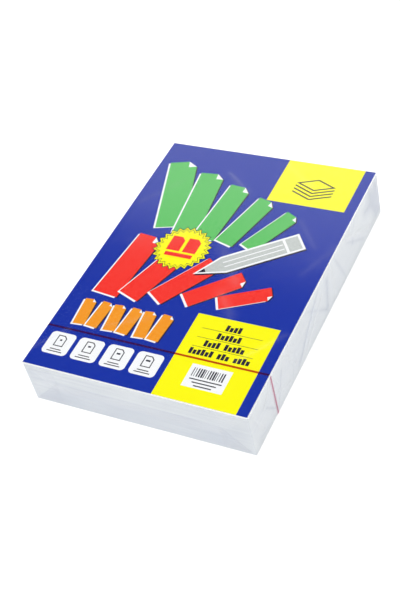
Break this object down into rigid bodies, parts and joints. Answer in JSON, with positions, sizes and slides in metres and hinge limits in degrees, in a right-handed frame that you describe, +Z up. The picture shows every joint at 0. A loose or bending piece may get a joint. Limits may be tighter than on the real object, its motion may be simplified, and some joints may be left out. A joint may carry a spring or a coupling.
{
  "type": "ream of paper",
  "caption": "Wrapped ream of A4 office paper: a square stack under a printed cover sheet, in clear film with envelope-folded ends and a tear tape.",
  "frame": {"origin": "middle of the underside, on the surface that the ream lies on", "axes": "+Z up through the stack, +X across the sheets, +Y along them from the foot of the printed cover to its head"},
  "size_m": [0.2108, 0.298, 0.0479],
  "materials": {
    "paper": "matte",
    "cover_paper": "satin",
    "tape": "gloss",
    "film": "gloss",
    "blue_ink": "satin",
    "yellow_ink": "satin",
    "green_ink": "satin",
    "red_ink": "satin",
    "silver_ink": "satin",
    "orange_ink": "satin",
    "black_ink": "satin"
  },
  "bodies": {
    "root": {"paper_block": "paper", "cover_sheet": "cover_paper", "tear_tape": "tape", "film_wrap": "film", "print_blue": "blue_ink", "print_yellow": "yellow_ink", "print_green": "green_ink", "print_red": "red_ink", "print_silver": "silver_ink", "print_orange": "orange_ink", "print_black": "black_ink"}
  },
  "joints": []
}
